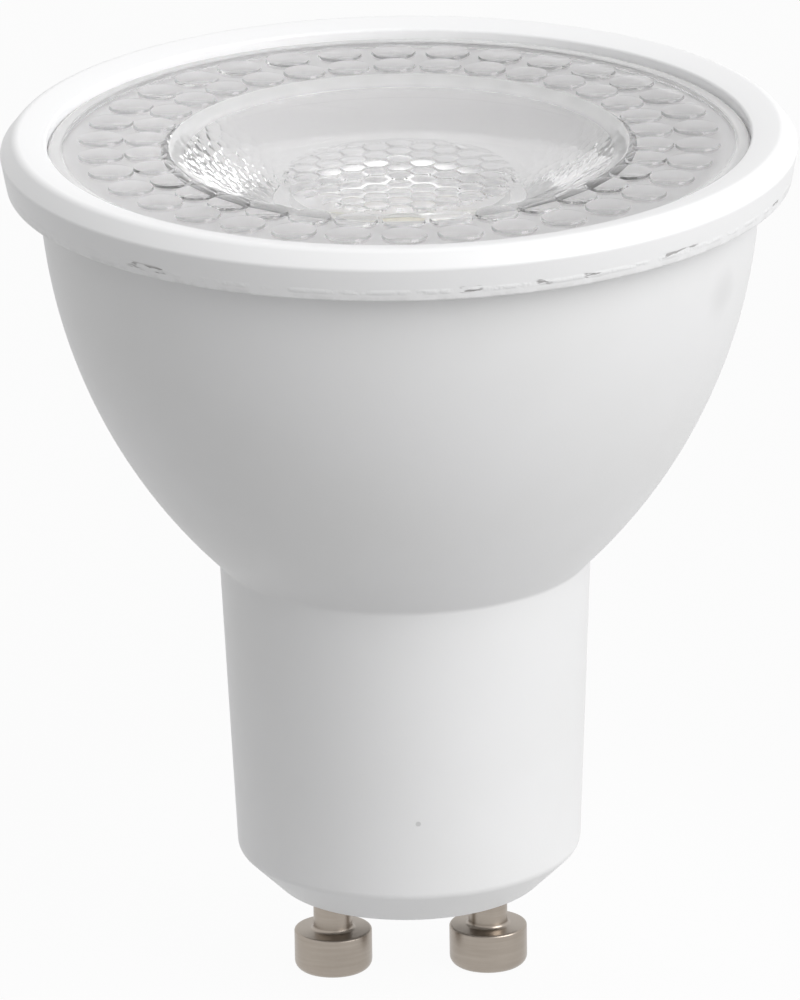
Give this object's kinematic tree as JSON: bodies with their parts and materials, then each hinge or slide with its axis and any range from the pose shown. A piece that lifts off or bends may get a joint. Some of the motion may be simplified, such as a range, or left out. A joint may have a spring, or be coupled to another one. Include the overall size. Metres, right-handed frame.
{
  "type": "gu10 spotlight bulb",
  "caption": "LED reflector lamp with a white bell-shaped body, a clear ringed lens in a trim ring, and a two-pin twist-and-lock base.",
  "frame": {"origin": "midway between the two contact pins, at the height of their ends", "axes": "+Z along the lamp axis, out through the lens; the two pins stand on X"},
  "size_m": [0.0504, 0.0504, 0.0565],
  "materials": {
    "white_shell": "satin moulded plastic, fine even surface",
    "white_ring": "satin moulded plastic, a little glossier than the shell",
    "clear_lens": "clear moulded plastic, polished",
    "spreader_metal": "pressed, white coating",
    "pad_silicone": "soft, matte",
    "board_white": "white coating on aluminium",
    "chip_package": "pale yellow window in a white package",
    "nickel_pin": "satin nickel, turned",
    "plated_steel": "zinc plated",
    "tinned_wire": "tinned copper",
    "sleeve_plastic": "natural plastic",
    "board_green": "solder resist over glass cloth",
    "can_sleeve": "shrunk sleeve",
    "ferrite": "sintered, dull",
    "copper_winding": "lacquered copper",
    "film_case": "moulded case",
    "resistor_coat": "baked coat",
    "black_package": "moulded epoxy",
    "chip_ceramic": "ceramic with tinned ends"
  },
  "bodies": {
    "root": {"board_screw_left": "plated_steel", "board_screw_right": "plated_steel", "bridge_rectifier": "black_package", "bulk_capacitor": "can_sleeve", "choke_core": "ferrite", "choke_winding": "copper_winding", "contact_pin_left": "nickel_pin", "contact_pin_right": "nickel_pin", "control_chip": "black_package", "driver_board": "board_green", "feed_bushing": "sleeve_plastic", "feed_wire_left": "tinned_wire", "feed_wire_right": "tinned_wire", "film_capacitor": "film_case", "flyback_diode": "black_package", "fuse_resistor": "resistor_coat", "heat_spreader": "spreader_metal", "housing": "white_shell", "lens": "clear_lens", "light_board": "board_white", "light_chip_1": "chip_package", "light_chip_2": "chip_package", "light_chip_3": "chip_package", "light_chip_4": "chip_package", "light_chip_5": "chip_package", "light_chip_6": "chip_package", "pin_collar_left": "plated_steel", "pin_collar_right": "plated_steel", "pin_wire_left": "tinned_wire", "pin_wire_right": "tinned_wire", "small_capacitor_1": "chip_ceramic", "small_capacitor_2": "chip_ceramic", "small_resistor_1": "chip_ceramic", "small_resistor_2": "chip_ceramic", "small_resistor_3": "chip_ceramic", "small_resistor_4": "chip_ceramic", "thermal_pad": "pad_silicone", "trim_ring": "white_ring"}
  },
  "joints": []
}
